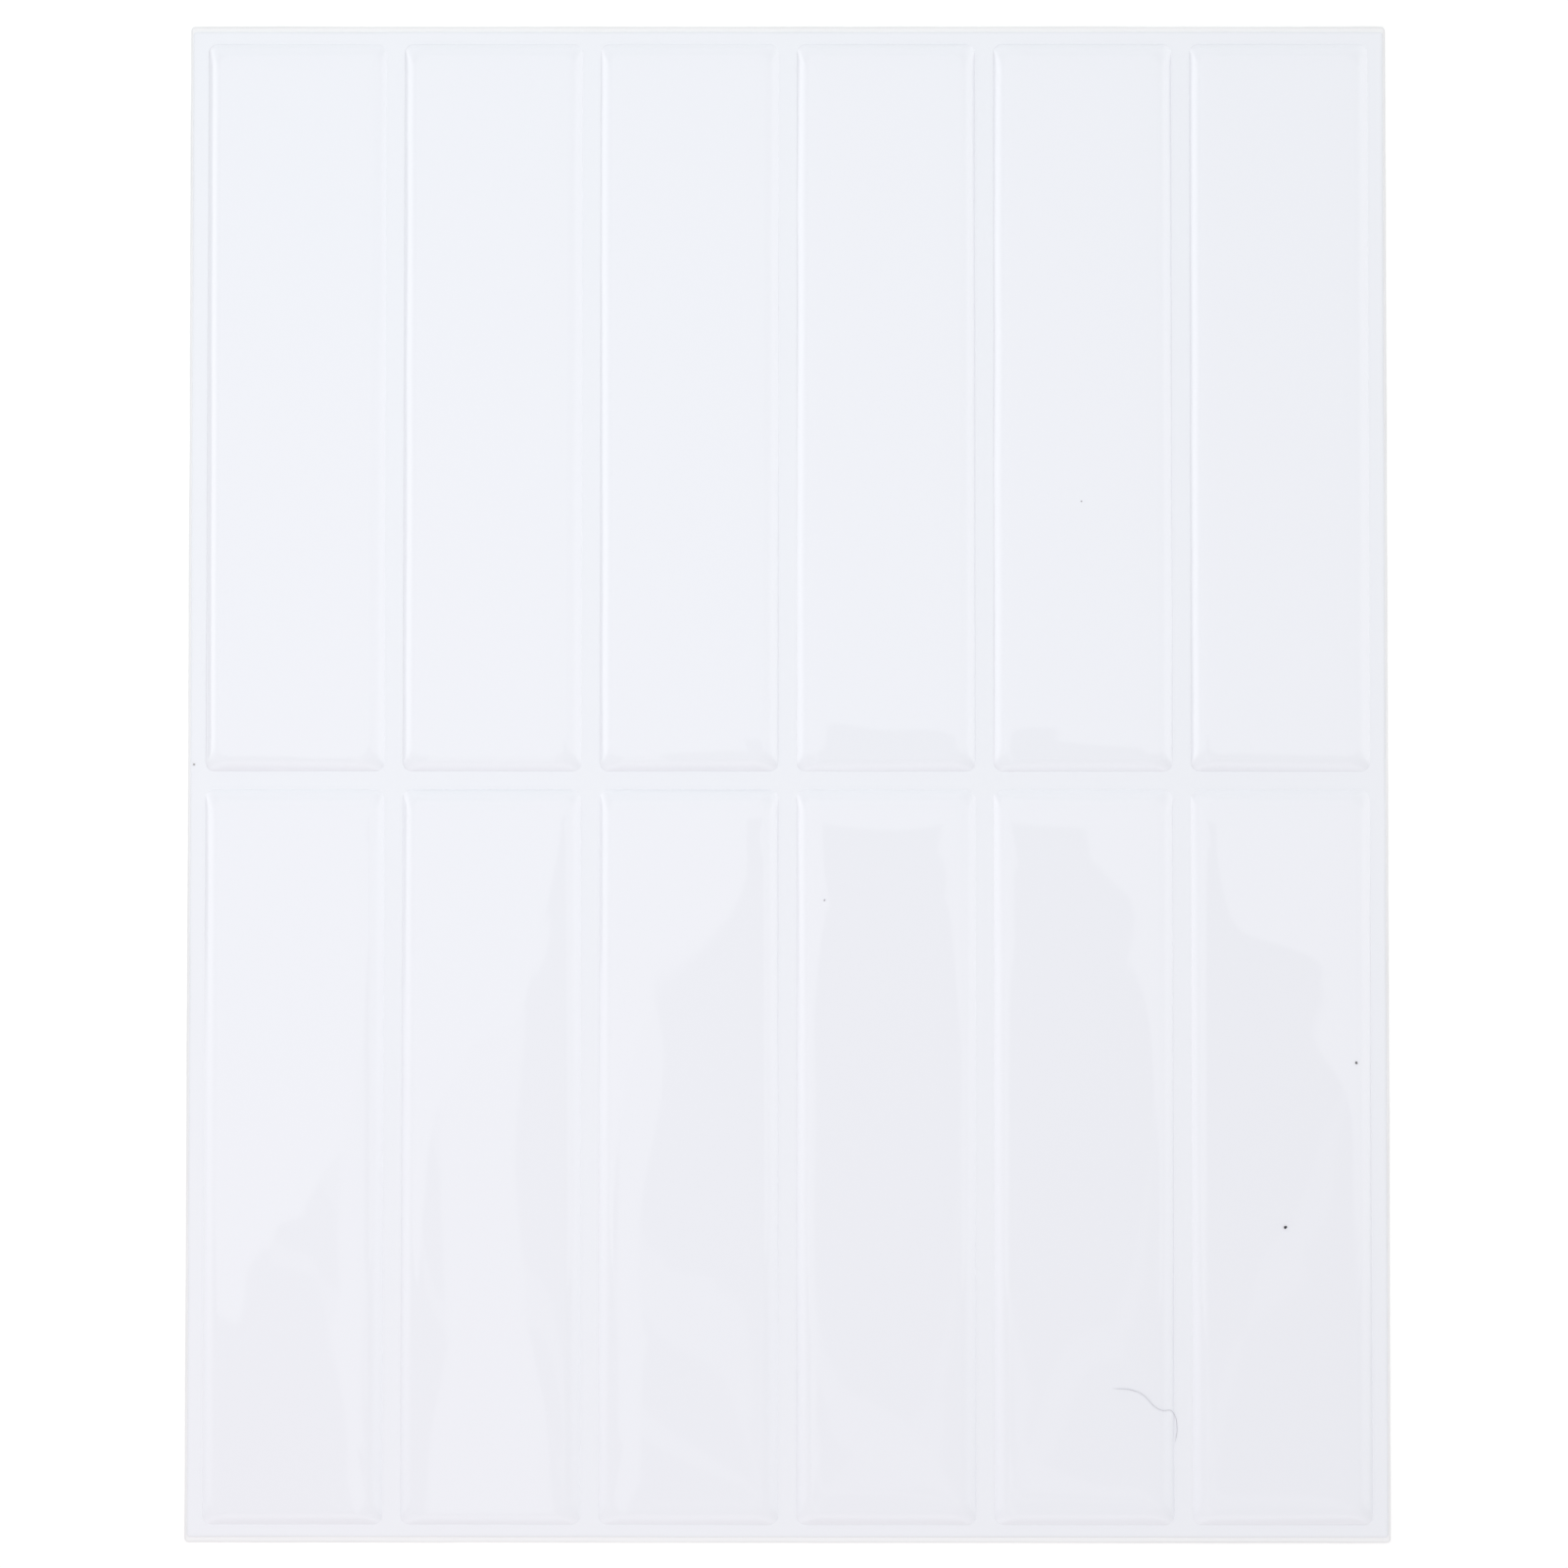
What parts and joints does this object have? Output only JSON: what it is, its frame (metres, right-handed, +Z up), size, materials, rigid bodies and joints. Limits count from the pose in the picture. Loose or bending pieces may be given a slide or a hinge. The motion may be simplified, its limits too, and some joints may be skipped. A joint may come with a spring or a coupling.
{
  "type": "self-adhesive wall tile sheet",
  "caption": "Flat peel-and-stick wall covering sheet: upright domed gloss white resin tiles with grout-like gaps on a thin white film, over a paper release liner.",
  "frame": {"origin": "middle of the release liner's underside, on the surface that the sheet lies on", "axes": "+Y along the tiles and the sheet's longer side, +X across the columns, +Z up out of the tile faces"},
  "size_m": [0.2412, 0.3048, 0.0018],
  "materials": {
    "resin": "gloss",
    "film": "satin",
    "liner": "matt"
  },
  "bodies": {
    "root": {"release_liner": "liner", "backing_film": "film", "tile_lower_1": "resin", "tile_lower_2": "resin", "tile_lower_3": "resin", "tile_lower_4": "resin", "tile_lower_5": "resin", "tile_lower_6": "resin", "tile_upper_1": "resin", "tile_upper_2": "resin", "tile_upper_3": "resin", "tile_upper_4": "resin", "tile_upper_5": "resin", "tile_upper_6": "resin"}
  },
  "joints": []
}
